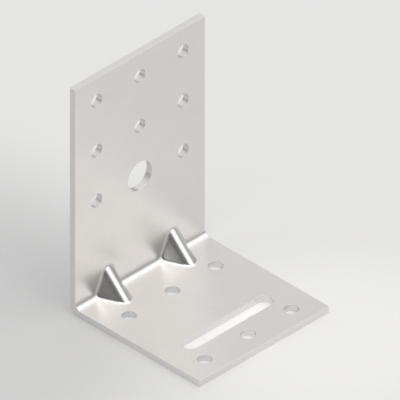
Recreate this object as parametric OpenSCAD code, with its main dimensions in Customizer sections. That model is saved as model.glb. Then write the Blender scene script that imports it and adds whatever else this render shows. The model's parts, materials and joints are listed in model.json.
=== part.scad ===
// Angle bracket: one galvanised sheet, punched, folded to a right angle and stiffened by pressed darts.
// The origin is at the middle of the footprint. The wall leg stands up +Z at the -X side, the fold runs
// along Y, and the base leg reaches towards +X.

/* [Sheet] */
// Thickness of the sheet
sheet_t = 2.5; // [1.5:0.25:4]
// Width of both legs, along the fold
width = 60; // [50:1:120]
// Height of the wall leg, from the underside to the top edge
wall_h = 90; // [75:1:150]
// Length of the base leg, from the back face to the free edge
base_l = 60; // [50:1:120]
// Inside radius of the fold
fold_r = 2.5; // [1:0.5:5]

/* [Nail holes] */
// Diameter of each nail hole
nail_d = 5; // [3:0.5:6]
// Spacing of the three columns, the middle one on the centre line
column_pitch = 20; // [17:0.5:24]
// Spacing of the rows on the wall leg
row_pitch = 20; // [14:0.5:24]
// Distance of the top row from the top edge
top_row_edge = 9; // [5:0.5:20]
// Distance of the base leg's near row from the back face
near_row_x = 17.5; // [16:0.5:30]
// Distance of the base leg's far row from the free edge
far_row_edge = 7.5; // [5:0.5:10]

/* [Bolt hole and slot] */
// Diameter of the bolt hole in the middle of the wall leg's lowest row
bolt_d = 11; // [8:0.5:14]
// Width of the slot in the base leg
slot_w = 6; // [4:0.5:8]
// Length of the slot over its round ends
slot_l = 40; // [20:1:48]
// Distance of the slot's centre line from the free edge
slot_edge = 17; // [14:0.5:25]

/* [Darts] */
// Spacing of the two darts, which stand evenly about the centre line
dart_pitch = 30; // [20:1:40]
// Reach of a dart up the wall leg and along the base leg, from the outer faces
dart_reach = 12.5; // [9:0.5:14]
// Radius inside a dart's crest, left by the nose of the punch
dart_nose_r = 0.3; // [0.1:0.1:3]
// Slope of a dart's flanks
dart_flank_deg = 58; // [45:1:70]

/* [Hidden] */
$fn = 96;

// Fold: the outer radius and the place of its axis, equally far from both outer faces
fold_outer_r = fold_r + sheet_t;

// Wall leg: three rows counted down from the top edge
columns = [-1, 0, 1];
wall_rows = [0, 1, 2];
bolt_row = 2;

// Darts: heights are measured from the legs' virtual inner corner, along the line that halves the angle
dart_sides = [-1, 1];
dart_crest_d = (dart_reach - sheet_t) / sqrt(2);
dart_crest_r = dart_nose_r + sheet_t;
crest_centre_d = dart_crest_d - dart_crest_r;
// The body's root lies halfway through the sheet of the fold, and the hollow's root outside it
fold_axis_d = fold_r * sqrt(2);
dart_root_d = fold_axis_d - fold_r - sheet_t / 2;
hollow_root_d = fold_axis_d - fold_outer_r - sheet_t;
dart_run = 4 * dart_reach;

// Cutters stand out of the sheet by this much on each side
through = 1;

// Section of the folded sheet: distance from the back face across, height up
module sheet_section() {
  translate([0, fold_outer_r])
    square([sheet_t, wall_h - fold_outer_r]);
  translate([fold_outer_r, 0])
    square([base_l - fold_outer_r, sheet_t]);
  intersection() {
    square(fold_outer_r);
    translate([fold_outer_r, fold_outer_r])
      difference() {
        circle(r = fold_outer_r);
        circle(r = fold_r);
      }
  }
}

module folded_sheet() {
  rotate([90, 0, 0])
    linear_extrude(width, center = true)
      sheet_section();
}

// Section across a dart: two flanks that run into a round crest of the given radius
module dart_section(crest_r, root_d) {
  tangent_y = crest_r * sin(dart_flank_deg);
  tangent_d = crest_centre_d + crest_r * cos(dart_flank_deg);
  root_y = tangent_y + (tangent_d - root_d) / tan(dart_flank_deg);
  translate([0, crest_centre_d])
    circle(r = crest_r);
  polygon([[-root_y, root_d], [root_y, root_d], [tangent_y, tangent_d], [-tangent_y, tangent_d]]);
}

// A dart section carried from the base leg to the wall leg, square to the line that halves the angle
module dart_ridge(crest_r, root_d) {
  translate([sheet_t, 0, sheet_t])
    rotate([0, 45, 0])
      rotate([90, 0, 90])
        linear_extrude(dart_run, center = true)
          dart_section(crest_r, root_d);
}

// The pressed-out body of a dart, ending halfway through both legs
module dart_body() {
  intersection() {
    dart_ridge(dart_crest_r, dart_root_d);
    translate([sheet_t / 2, -width / 2, sheet_t / 2])
      cube([dart_run, width, dart_run]);
  }
}

// The hollow that the punch leaves behind a dart, one sheet thickness inside the body
module dart_hollow() {
  dart_ridge(dart_nose_r, hollow_root_d);
}

module at_each_dart() {
  for (side = dart_sides)
    translate([0, side * dart_pitch / 2, 0])
      children();
}

// Punches through the wall leg: nail holes, and the bolt hole in the middle of the lowest row
module wall_punches() {
  for (row = wall_rows, column = columns)
    translate([-through, column * column_pitch, wall_h - top_row_edge - row * row_pitch])
      rotate([0, 90, 0])
        cylinder(d = row == bolt_row && column == 0 ? bolt_d : nail_d, h = sheet_t + 2 * through);
}

// Punches through the base leg: one row of nail holes near the fold and one near the free edge
module base_punches() {
  for (row_x = [near_row_x, base_l - far_row_edge], column = columns)
    translate([row_x, column * column_pitch, -through])
      cylinder(d = nail_d, h = sheet_t + 2 * through);
}

module slot_punch() {
  straight = slot_l - slot_w;
  translate([base_l - slot_edge, 0, -through])
    linear_extrude(sheet_t + 2 * through) {
      square([slot_w, straight], center = true);
      for (side = [-1, 1])
        translate([0, side * straight / 2])
          circle(d = slot_w);
    }
}

module angle_bracket() {
  color([0.80, 0.80, 0.78])
    translate([-base_l / 2, 0, 0])
      difference() {
        union() {
          folded_sheet();
          at_each_dart() dart_body();
        }
        at_each_dart() dart_hollow();
        wall_punches();
        base_punches();
        slot_punch();
      }
}

angle_bracket();
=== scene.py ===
import json

import bpy
import numpy as np
from mathutils import Matrix, Vector


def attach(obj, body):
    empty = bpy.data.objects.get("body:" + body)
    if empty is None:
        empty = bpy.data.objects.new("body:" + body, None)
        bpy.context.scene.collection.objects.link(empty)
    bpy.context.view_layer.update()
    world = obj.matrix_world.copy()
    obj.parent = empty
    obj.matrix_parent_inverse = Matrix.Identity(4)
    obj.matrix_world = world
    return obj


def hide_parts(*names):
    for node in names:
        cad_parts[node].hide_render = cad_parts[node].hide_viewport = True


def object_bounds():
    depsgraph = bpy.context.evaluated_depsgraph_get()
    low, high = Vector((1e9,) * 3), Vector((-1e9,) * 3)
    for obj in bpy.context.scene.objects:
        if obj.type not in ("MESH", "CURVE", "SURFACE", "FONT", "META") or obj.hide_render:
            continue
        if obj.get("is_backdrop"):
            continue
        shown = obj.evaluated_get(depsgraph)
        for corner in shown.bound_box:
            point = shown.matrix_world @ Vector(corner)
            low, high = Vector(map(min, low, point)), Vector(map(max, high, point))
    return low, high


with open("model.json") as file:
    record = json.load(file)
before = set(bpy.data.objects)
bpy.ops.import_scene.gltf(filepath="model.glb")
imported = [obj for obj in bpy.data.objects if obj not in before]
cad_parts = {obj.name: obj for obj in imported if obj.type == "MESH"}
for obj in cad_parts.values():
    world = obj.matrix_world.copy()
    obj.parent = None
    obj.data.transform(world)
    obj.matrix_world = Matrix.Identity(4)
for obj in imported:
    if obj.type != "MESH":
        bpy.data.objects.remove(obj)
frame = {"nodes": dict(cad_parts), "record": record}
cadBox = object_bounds()
mounts = {mount["name"]: mount for mount in frame["record"]["mounts"]}
print("frame loaded:", sorted(frame["nodes"]))

mm = 0.001
slopeStep = 1e-4  # mm to each side of a point, to find its slopes
leastBlend = 1e-6  # mm, so that the blend at a dart's foot never divides by zero
mergeStep = 1e-4  # mm, points nearer than this become one
mergeShift = 1.37e-5  # mm, keeps round coordinates off the border between two merge steps

# The bracket is one sheet, so every point of it has sheet coordinates, in mm:
# a runs along the legs (up the wall leg, minus along the base leg, zero at their virtual inner corner),
# y runs along the fold, and depth goes through the sheet from its inner face.
bracket = {
    "foldRadius": 2.5,  # inside radius of the fold, mm
    "edgeRound": 0.1,  # how far the shears and punches rounded each edge
    "edgeSteps": 4,  # faces round each rounded edge
    "cutSteps": 2,  # faces across each cut face
    "ringSteps": 3,  # faces from a hole's edge to its neighbours
    "cornerSteps": 4,  # faces round each outline corner
    "dartOffset": 15,  # dart to centre line
    "dartReach": 12.5,  # from the outer faces to a dart's tips
    "dartCrestRadius": 2.8,  # outside radius along a dart's ridge
    "dartFlankSlope": np.radians(58),
    "dartFootRadius": 1.25,  # how softly a dart flows into the legs
}

cadLow, cadHigh = (np.array(corner) / mm for corner in cadBox)
thickness = mounts["bolt_hole"]["dims"]["length_mm"]
backFace = cadLow[0]
wallTop = cadHigh[2] - thickness  # in sheet coordinate a
baseEnd = -(cadHigh[0] - backFace - thickness)
halfWidth = cadHigh[1]

rootTwo = np.sqrt(2)
upBisector = np.array((1, 0, 1)) / rootTwo  # halves the angle between the legs
alongSheet = np.array((-1, 0, 1)) / rootTwo  # from the base leg's side to the wall leg's
alongFold = np.array((0, 1, 0))
innerCorner = np.array((backFace + thickness, 0, cadLow[2] + thickness))


def legHeight(e):
    # distance of the bare legs over their inner corner, along the bisector and e to its side, and its
    # slope: |e| on the flat legs, and a circle of the fold's radius that touches both between them
    r = bracket["foldRadius"]
    inFold = np.abs(e) < r / rootTwo
    run = np.sqrt(r * r - np.where(inFold, e, 0) ** 2)
    return np.where(inFold, r * rootTwo - run, np.abs(e)), np.where(inFold, e / run, np.sign(e))


def dartHeight(y):
    # the same distance for the darts, and how steeply it falls: a circle over the ridge, and straight
    # flanks that leave it at a tangent
    crest = (bracket["dartReach"] - thickness) / rootTwo
    r, slope = bracket["dartCrestRadius"], bracket["dartFlankSlope"]
    off = np.abs(np.abs(y) - bracket["dartOffset"])
    onCrest = off < r * np.sin(slope)
    run = np.sqrt(r * r - np.where(onCrest, off, 0) ** 2)
    flank = crest - r + r / np.cos(slope) - off * np.tan(slope)
    return np.where(onCrest, crest - r + run, flank), np.where(onCrest, off / run, np.tan(slope))


def sheetHeight(e, y):
    # the higher of legs and darts, with a parabola of width k over the crease between them;
    # k follows both slopes, so that the blend has about the same radius all round a dart's foot
    leg, legSlope = legHeight(e)
    dart, dartSlope = dartHeight(y)
    legRise, dartRise = np.sqrt(1 + legSlope ** 2), np.sqrt(1 + dartSlope ** 2)
    k = bracket["dartFootRadius"] * (1 - 1 / (legRise * dartRise)) * (legRise + dartRise) / 2
    k = k + leastBlend
    return np.maximum(leg, dart) + np.maximum(k - np.abs(leg - dart), 0) ** 2 / (4 * k)


def sheetSurface(a, y, depth=0.0, outA=0.0, outY=0.0, turn=0.0):
    # a point lies its depth behind the inner face, measured square to that face, so the sheet keeps its
    # thickness through fold and darts; its normal turns from the face towards the outward direction
    a, y, depth, outA, outY, turn = np.broadcast_arrays(a, y, depth, outA, outY, turn)
    e, h = a / rootTwo, slopeStep
    height = sheetHeight(e, y)
    slopeE = (sheetHeight(e + h, y) - sheetHeight(e - h, y)) / (2 * h)
    slopeY = (sheetHeight(e, y + h) - sheetHeight(e, y - h)) / (2 * h)
    face = upBisector - slopeE[..., None] * alongSheet - slopeY[..., None] * alongFold
    face /= np.linalg.norm(face, axis=-1, keepdims=True)
    along = alongSheet + slopeE[..., None] * upBisector
    along /= np.linalg.norm(along, axis=-1, keepdims=True)
    outward = outA[..., None] * along + outY[..., None] * alongFold
    point = innerCorner + height[..., None] * upBisector + e[..., None] * alongSheet
    point = point + y[..., None] * alongFold
    normal = np.cos(turn)[..., None] * face + np.sin(turn)[..., None] * outward
    return point - depth[..., None] * face, normal


def spread(stops, counts):
    # lines from stop to stop, evenly spaced in each stretch
    parts = [np.linspace(p, q, n, endpoint=False) for p, q, n in zip(stops, stops[1:], counts)]
    return np.append(np.concatenate(parts), stops[-1])


patches = []


def addPatch(points, normals, cut, closed=False):
    # a grid of points becomes quads, turned so that they face along the normals; cut is 1 on a cut face
    rows, columns = points.shape[:2]
    first = np.arange(rows if closed else rows - 1)[:, None]
    second, column = (first + 1) % rows, np.arange(columns - 1)
    corners = (first * columns + column, second * columns + column,
               second * columns + column + 1, first * columns + column + 1)
    quads = np.stack(np.broadcast_arrays(*corners), axis=-1).reshape(-1, 4)
    flat, flatNormals = points.reshape(-1, 3), normals.reshape(-1, 3)
    cross = np.cross(flat[quads[:, 2]] - flat[quads[:, 0]], flat[quads[:, 3]] - flat[quads[:, 1]])
    if np.sum(cross * flatNormals[quads[:, 0]]) < 0:
        quads = quads[:, ::-1]
    patches.append((flat, flatNormals, np.broadcast_to(cut, points.shape[:2]).reshape(-1), quads))


def addFaces(a, y, closed=False):
    # the same stretch of sheet on both faces
    for depth, turn in ((0.0, 0.0), (thickness, np.pi)):
        addPatch(*sheetSurface(a, y, depth, turn=turn), cut=0.0, closed=closed)


def addEdge(a, y, outA, outY):
    # a closed run of cut edge: a quarter circle out of the inner face, the cut face through the sheet,
    # and a quarter circle into the outer face, carried along the path
    r = bracket["edgeRound"]
    quarter = np.linspace(0, np.pi / 2, bracket["edgeSteps"] + 1)
    across = np.linspace(r, thickness - r, bracket["cutSteps"] + 1)[1:-1]
    turn = np.concatenate((quarter, np.full(across.size, np.pi / 2), quarter + np.pi / 2))
    depth = np.concatenate((r - r * np.cos(quarter), across, thickness - r + r * np.sin(quarter)))
    reach = r * np.sin(turn)
    cut = np.sin(turn) ** 2  # 1 on the cut face, 0 on both faces of the sheet
    addPatch(*sheetSurface(a[:, None] + outA[:, None] * reach, y[:, None] + outY[:, None] * reach, depth,
                           outA[:, None], outY[:, None], turn), cut=cut, closed=True)


def addHole(spanA, spanY, hole):
    # a rectangle of sheet with a hole: straight rays run from the rectangle to the nearest point of the
    # hole's edge, which is a circle, or a circle drawn out along the fold
    lineA, lineY = aLines[slice(*spanA)], yLines[slice(*spanY)]
    loopA = np.concatenate((np.full(lineY.size - 1, lineA[0]), lineA[:-1],
                            np.full(lineY.size - 1, lineA[-1]), lineA[:0:-1]))
    loopY = np.concatenate((lineY[:-1], np.full(lineA.size - 1, lineY[-1]),
                            lineY[:0:-1], np.full(lineA.size - 1, lineY[0])))
    coreY = np.clip(loopY, hole["y"] - hole["straight"], hole["y"] + hole["straight"])
    rayA, rayY = loopA - hole["a"], loopY - coreY
    length = np.hypot(rayA, rayY)
    rayA, rayY = rayA / length, rayY / length
    rim = hole["radius"] + bracket["edgeRound"]
    rimA, rimY = hole["a"] + rim * rayA, coreY + rim * rayY
    share = np.linspace(0, 1, bracket["ringSteps"] + 1)
    addFaces(loopA[:, None] + share * (rimA - loopA)[:, None],
             loopY[:, None] + share * (rimY - loopY)[:, None], closed=True)
    addEdge(rimA, rimY, -rayA, -rayY)


def addOutline():
    # the sheared outline: along each side, and a quarter turn on the spot at each corner
    quarter = np.linspace(0, np.pi / 2, bracket["cornerSteps"] + 1)[1:-1]
    # each side's path, and the direction that it faces, as an angle from a towards y
    sides = ((aLines, yLines[-1], np.pi / 2), (aLines[-1], yLines[::-1], 0),
             (aLines[::-1], yLines[0], -np.pi / 2), (aLines[0], yLines, -np.pi))
    runs = []
    for pathA, pathY, start in sides:
        pathA, pathY = np.broadcast_arrays(pathA, pathY)
        runA = np.append(pathA, np.full(quarter.size, pathA[-1]))
        runY = np.append(pathY, np.full(quarter.size, pathY[-1]))
        direction = np.concatenate((np.full(pathA.size, start), start - quarter))
        runs.append((runA, runY, np.cos(direction), np.sin(direction)))
    addEdge(*(np.concatenate(part) for part in zip(*runs)))


def holesOf(name):
    # a hole pattern of the record, as holes in sheet coordinates
    mount = mounts[name]
    dims, place = mount["dims"], np.array(mount["pos_m"]) / mm
    onWall = np.argmax(np.abs(mount["axis"])) == 0  # the holes run along X
    first, second = (1, 2) if onWall else (0, 1)  # axes of the leg's plane
    halfFirst, halfSecond = dims.get("spacing_x_mm", 0) / 2, dims.get("spacing_y_mm", 0) / 2
    radius = dims.get("hole_r_mm", dims.get("r_mm"))
    straight = max(dims.get("slot_length_mm", 0) / 2 - radius, 0)
    for shiftFirst in {-halfFirst, halfFirst}:  # one place where the spacing is zero
        for shiftSecond in {-halfSecond, halfSecond}:
            centre = place.copy()
            centre[first] += shiftFirst
            centre[second] += shiftSecond
            a = centre[2] - innerCorner[2] if onWall else innerCorner[0] - centre[0]
            yield {"a": a, "y": centre[1], "radius": radius, "straight": straight}


# Lines that divide the sheet. Each stretch has its number of faces, close together over fold and darts.
layout = {
    "aStops": (-45.25, -35, -20.5, -11.5, 11.5, 28.5, 48.5, 68.5),  # mm, between the sheet's ends
    "aCounts": (12, 10, 6, 9, 66, 12, 16, 16, 15),
    "yStops": (-22, -10, -8, 8, 10, 22),
    "yCounts": (10, 36, 6, 20, 6, 36, 10),
    "foldSpan": (4, 6),  # stops between which the sheet has no holes and takes fold and darts
    "plainSpan": (2, 3),  # bare stretch of the base leg
    "columns": ((0, 2), (2, 5), (5, 7)),  # stops on both sides of each column of holes
}

inset = bracket["edgeRound"]
aStops = (baseEnd + inset, *layout["aStops"], wallTop - inset)
yStops = (-halfWidth + inset, *layout["yStops"], halfWidth - inset)
aLines, yLines = spread(aStops, layout["aCounts"]), spread(yStops, layout["yCounts"])
aMarks = np.concatenate(([0], np.cumsum(layout["aCounts"])))
yMarks = np.concatenate(([0], np.cumsum(layout["yCounts"])))


def lineSpan(marks, start, end):
    # the lines from one stop to another, both included
    return marks[start], marks[end] + 1


def buildBracket():
    for start, end in (layout["foldSpan"], layout["plainSpan"]):
        stretch = aLines[slice(*lineSpan(aMarks, start, end))]
        addFaces(stretch[:, None], yLines[None, :])
    patterns = [name for name, mount in mounts.items() if mount["kind"] in ("bolt_pattern", "bore")]
    holes = [hole for name in patterns for hole in holesOf(name)]
    for hole in holes:
        row = np.searchsorted(aStops, hole["a"]) - 1
        column = next(c for c in layout["columns"] if yStops[c[0]] < hole["y"] < yStops[c[1]])
        if hole["straight"]:
            column = (0, len(yStops) - 1)  # a slot has the whole width
        addHole(lineSpan(aMarks, row, row + 1), lineSpan(yMarks, *column), hole)
    addOutline()
    print("sheet laid out:", len(patches), "patches,", len(holes), "holes")


def meshFromPatches(name):
    # the patches share their border points, which are merged so that the sheet is closed;
    # a quad with two corners on one point is a triangle, and one with fewer points left is dropped
    points, normals, cut = (np.concatenate([patch[i] for patch in patches]) for i in range(3))
    starts = np.cumsum([0] + [len(patch[0]) for patch in patches[:-1]])
    quads = np.concatenate([patch[3] + start for patch, start in zip(patches, starts)])
    keys = np.round((points + mergeShift) / mergeStep).astype(np.int64)
    kept, merged = np.unique(keys, axis=0, return_index=True, return_inverse=True)[1:]
    quads = merged.reshape(-1)[quads]
    following = np.roll(quads, -1, axis=1)
    distinct = quads != following
    pinched = distinct.sum(axis=1) == 3
    whole = quads[distinct.all(axis=1)]
    triangles = quads[pinched][distinct[pinched]].reshape(-1, 3)
    mesh = bpy.data.meshes.new(name)
    mesh.from_pydata((points[kept] * mm).tolist(), [], whole.tolist() + triangles.tolist())
    mesh.polygons.foreach_set("use_smooth", np.ones(len(mesh.polygons), bool))
    mesh.attributes.new("cutFace", "FLOAT", "POINT").data.foreach_set("value", cut[kept])
    mesh.normals_split_custom_set_from_vertices(normals[kept].tolist())
    edges = np.sort(np.stack((quads, following), axis=-1)[distinct], axis=1)
    uses = np.unique(edges, axis=0, return_counts=True)[1]
    counts = (len(mesh.vertices), len(mesh.polygons), int(np.sum(uses != 2)))
    print("mesh: %d points, %d faces, %d open edges" % counts)
    return mesh


buildBracket()
angleBracket = bpy.data.objects.new("angleBracket", meshFromPatches("angleBracket"))
bpy.context.scene.collection.objects.link(angleBracket)


class Wire:
    # a node's output, so that shader maths reads as a plain expression
    def __init__(self, tree, socket=None):
        self.tree, self.socket = tree, socket

    def make(self, kind, settings, sockets, output=0):
        node = self.tree.nodes.new(kind)
        for key, value in settings.items():
            setattr(node, key, value)
        for key, value in sockets.items():
            if isinstance(value, Wire):
                self.tree.links.new(value.socket, node.inputs[key])
            else:
                node.inputs[key].default_value = value
        return Wire(self.tree, node.outputs[output] if len(node.outputs) else None)

    def math(self, operation, first, second):
        return self.make("ShaderNodeMath", {"operation": operation}, {0: first, 1: second})

    def measure(self, operation, first, second):
        # a number from two vectors, such as their distance
        return self.make("ShaderNodeVectorMath", {"operation": operation}, {0: first, 1: second}, "Value")

    def mix(self, share, first, second):
        # between two colours, whose sockets on a Mix node are found by number alone
        return self.make("ShaderNodeMix", {"data_type": "RGBA"}, {0: share, 6: first, 7: second}, 2)

    def ease(self, value, start, end):
        # 0 at start, 1 at end, a smooth step between them, and level beyond them
        return self.make("ShaderNodeMapRange", {"interpolation_type": "SMOOTHSTEP"},
                         {"Value": value, "From Min": start, "From Max": end})

    def __add__(self, other):
        return self.math("ADD", self, other)

    def __radd__(self, other):
        return self.math("ADD", other, self)

    def __sub__(self, other):
        return self.math("SUBTRACT", self, other)

    def __rsub__(self, other):
        return self.math("SUBTRACT", other, self)

    def __mul__(self, other):
        return self.math("MULTIPLY", self, other)

    def __rmul__(self, other):
        return self.math("MULTIPLY", other, self)


def newMaterial(name):
    material = bpy.data.materials.new(name)
    material.use_nodes = True
    material.node_tree.nodes.clear()
    return material, Wire(material.node_tree)


zinc = {
    "pale": (0.815, 0.803, 0.791, 1),
    "dull": (0.731, 0.719, 0.708, 1),
    "cutColour": (0.800, 0.790, 0.780, 1),
    "roughness": 0.305,
    "cutRoughness": 0.38,
    "cloud": (90, 4),  # soft clouds in the coat: scale per metre, and detail
    "mottle": (700, 2),  # fine zinc crystals
    "grain": (2600, 3),  # matt grain of the surface
    "mottleShare": 0.35,  # of the tone, where clouds are the rest
    "toneRoughness": 0.06,  # how much tone and grain change the roughness
    "grainRoughness": 0.04,
    "bumpStrength": 0.04,
    "bumpHeight": 0.0002,  # m
}


def galvanisedSteel():
    material, wire = newMaterial("galvanisedSteel")
    noiseMiddle = 0.5
    place = wire.make("ShaderNodeTexCoord", {}, {}, "Object")
    cut = wire.make("ShaderNodeAttribute", {"attribute_name": "cutFace"}, {}, "Fac")

    def noise(scale, detail):
        return wire.make("ShaderNodeTexNoise", {}, {"Vector": place, "Scale": scale, "Detail": detail})

    cloud, mottle, grain = (noise(*zinc[name]) for name in ("cloud", "mottle", "grain"))
    tone = (1 - zinc["mottleShare"]) * cloud + zinc["mottleShare"] * mottle
    colour = wire.mix(cut, wire.mix(tone, zinc["dull"], zinc["pale"]), zinc["cutColour"])
    roughness = zinc["roughness"] + zinc["toneRoughness"] * (tone - noiseMiddle)
    roughness = roughness + zinc["grainRoughness"] * (grain - noiseMiddle)
    roughness = roughness + cut * (zinc["cutRoughness"] - zinc["roughness"])
    bump = wire.make("ShaderNodeBump", {}, {
        "Strength": zinc["bumpStrength"], "Distance": zinc["bumpHeight"], "Height": grain})
    shader = wire.make("ShaderNodeBsdfPrincipled", {}, {
        "Base Color": colour, "Metallic": 1.0, "Roughness": roughness, "Normal": bump})
    wire.make("ShaderNodeOutputMaterial", {}, {"Surface": shader})
    return material


angleBracket.data.materials.append(galvanisedSteel())
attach(angleBracket, "root")
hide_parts("angle_bracket")
print("bracket finished")


studio = {
    "floorSize": 6.0,  # m
    "floorTone": 0.525,
    "floorRoughness": 0.9,
    "floorGlow": 0.47,  # light of the floor itself, as a share of its tone, so that the holes stay light
    # soft round patches of painted light and painted shade in the floor's tone: the distances in reach
    # are where one ends and where it is full, m
    # painted pool of light on the floor, centred under the base leg and reaching past it
    "lightPool": {"middle": (0.04, 0.02, 0), "change": 0.05, "reach": (0.065, 0.02)},
    # painted light: the floor is lighter under the sheet, where its shadow falls, and shows through the
    # slot and the holes
    "underSheet": {"middle": (0, 0, 0), "change": 0.10, "reach": (0.033, 0.026)},
    # painted shade on the floor beside the bracket's left side
    "shade": {"middle": (-0.075, -0.095, 0), "change": -0.105, "reach": (0.14, 0.07)},
    "worldLight": 0.86,
    "horizonShare": 0.42,  # of that light, at the horizon
    "horizonReach": (0.24, 0.64),  # heights of a direction, from the horizon's light to the full one
    # soft round places in the room: change is a share of the light, and reach gives the cosines to the
    # middle where one ends and where it is full
    "doorway": {"from": (0.11, -0.99, 0.11), "change": -0.78, "reach": (0.80, 0.96)},
    "viewer": {"from": (0.575, -0.56, 0.595), "change": -0.90, "reach": (0.87, 0.97)},
    "ceiling": {"from": (0.60, 0.17, 0.785), "change": 0.86, "reach": (0.74, 0.92)},
    "back": {"from": (-0.10, 0.60, 0.79), "change": 0.33, "reach": (0.86, 0.97)},
    "ceilingTint": (1.0, 0.975, 0.945, 1),
    "softboxFrom": (0.19, -0.32, 0.925),
    "softboxDistance": 2.0,
    "softboxSize": (0.90, 1.75),  # across and along the fold, m
    "softboxRadiance": 1.75,
}


def makeFloor():
    half = studio["floorSize"] / 2
    corners = [(-half, -half, 0), (half, -half, 0), (half, half, 0), (-half, half, 0)]
    mesh = bpy.data.meshes.new("floor")
    mesh.from_pydata(corners, [], [(0, 1, 2, 3)])
    floor = bpy.data.objects.new("floor", mesh)
    bpy.context.scene.collection.objects.link(floor)
    material, wire = newMaterial("paleFloor")
    place = wire.make("ShaderNodeTexCoord", {}, {}, "Object")
    tone = studio["floorTone"]
    # the floor's tone, plus a painted pool of light, painted light under the sheet and a painted shade
    for name in ("lightPool", "underSheet", "shade"):
        distance = wire.measure("DISTANCE", place, studio[name]["middle"])
        tone = tone + studio[name]["change"] * wire.ease(distance, *studio[name]["reach"])
    shader = wire.make("ShaderNodeBsdfPrincipled", {}, {
        "Base Color": tone, "Roughness": studio["floorRoughness"],
        "Emission Color": tone, "Emission Strength": studio["floorGlow"]})
    wire.make("ShaderNodeOutputMaterial", {}, {"Surface": shader})
    floor.data.materials.append(material)
    floor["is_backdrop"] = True


def makeWorld():
    world = bpy.data.worlds.new("studio")
    world.use_nodes = True
    world.node_tree.nodes.clear()
    bpy.context.scene.world = world
    wire = Wire(world.node_tree)
    white = (1, 1, 1, 1)
    direction = wire.make("ShaderNodeTexCoord", {}, {}, "Generated")

    def within(name):
        # 0 outside a place in the room and 1 in its middle
        middle = Vector(studio[name]["from"]).normalized()
        nearness = wire.measure("DOT_PRODUCT", direction, middle)
        return wire.ease(nearness, *studio[name]["reach"])

    height = wire.make("ShaderNodeSeparateXYZ", {}, {"Vector": direction}, "Z")
    rise = wire.ease(height, *studio["horizonReach"])
    share = studio["horizonShare"] + (1 - studio["horizonShare"]) * rise
    strength = studio["worldLight"] * share
    for name in ("doorway", "viewer", "ceiling", "back"):
        strength = strength * (1 + studio[name]["change"] * within(name))
    colour = wire.mix(within("ceiling"), white, studio["ceilingTint"])
    light = wire.make("ShaderNodeBackground", {}, {"Color": colour, "Strength": strength})
    wire.make("ShaderNodeOutputWorld", {}, {"Surface": light})


def makeSoftbox():
    lamp = bpy.data.lights.new("softbox", "AREA")
    lamp.shape = "ELLIPSE"
    lamp.size, lamp.size_y = studio["softboxSize"]
    area = np.pi * lamp.size * lamp.size_y / 4
    lamp.energy = studio["softboxRadiance"] * np.pi * area  # W
    softbox = bpy.data.objects.new("softbox", lamp)
    towards = Vector(studio["softboxFrom"]).normalized()
    softbox.location = towards * studio["softboxDistance"]
    across = Vector(alongFold).cross(towards).normalized()
    turned = Matrix((across, towards.cross(across), towards)).transposed()
    softbox.rotation_euler = turned.to_euler()
    bpy.context.scene.collection.objects.link(softbox)


view = {
    "towards": (1, -1, 1),  # true isometric
    "frameWidth": 0.13085,  # m across the picture
    "distance": 0.6,
    "pictureSize": 400,
    "boxCentreAt": (199.46, 200.05),  # pixel of the middle of the bracket's box
}


def makeCamera():
    lens = bpy.data.cameras.new("camera")
    lens.type, lens.ortho_scale = "ORTHO", view["frameWidth"]
    camera = bpy.data.objects.new("camera", lens)
    towards = Vector(view["towards"]).normalized()
    camera.rotation_euler = towards.to_track_quat("Z", "Y").to_euler()
    perPixel = view["frameWidth"] / view["pictureSize"]
    right = (view["pictureSize"] / 2 - view["boxCentreAt"][0]) * perPixel
    up = (view["boxCentreAt"][1] - view["pictureSize"] / 2) * perPixel
    shift = camera.rotation_euler.to_matrix() @ Vector((right, up, 0))
    boxCentre = (cadBox[0] + cadBox[1]) / 2
    camera.location = boxCentre + towards * view["distance"] + shift
    bpy.context.scene.collection.objects.link(camera)
    bpy.context.scene.camera = camera


makeFloor()
makeWorld()
makeSoftbox()
makeCamera()
bpy.context.scene.view_settings.view_transform = "Standard"
print("studio ready")

boxes = {"cad": cadBox, "visual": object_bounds()}
{name: [list(corner) for corner in box] for name, box in boxes.items()}
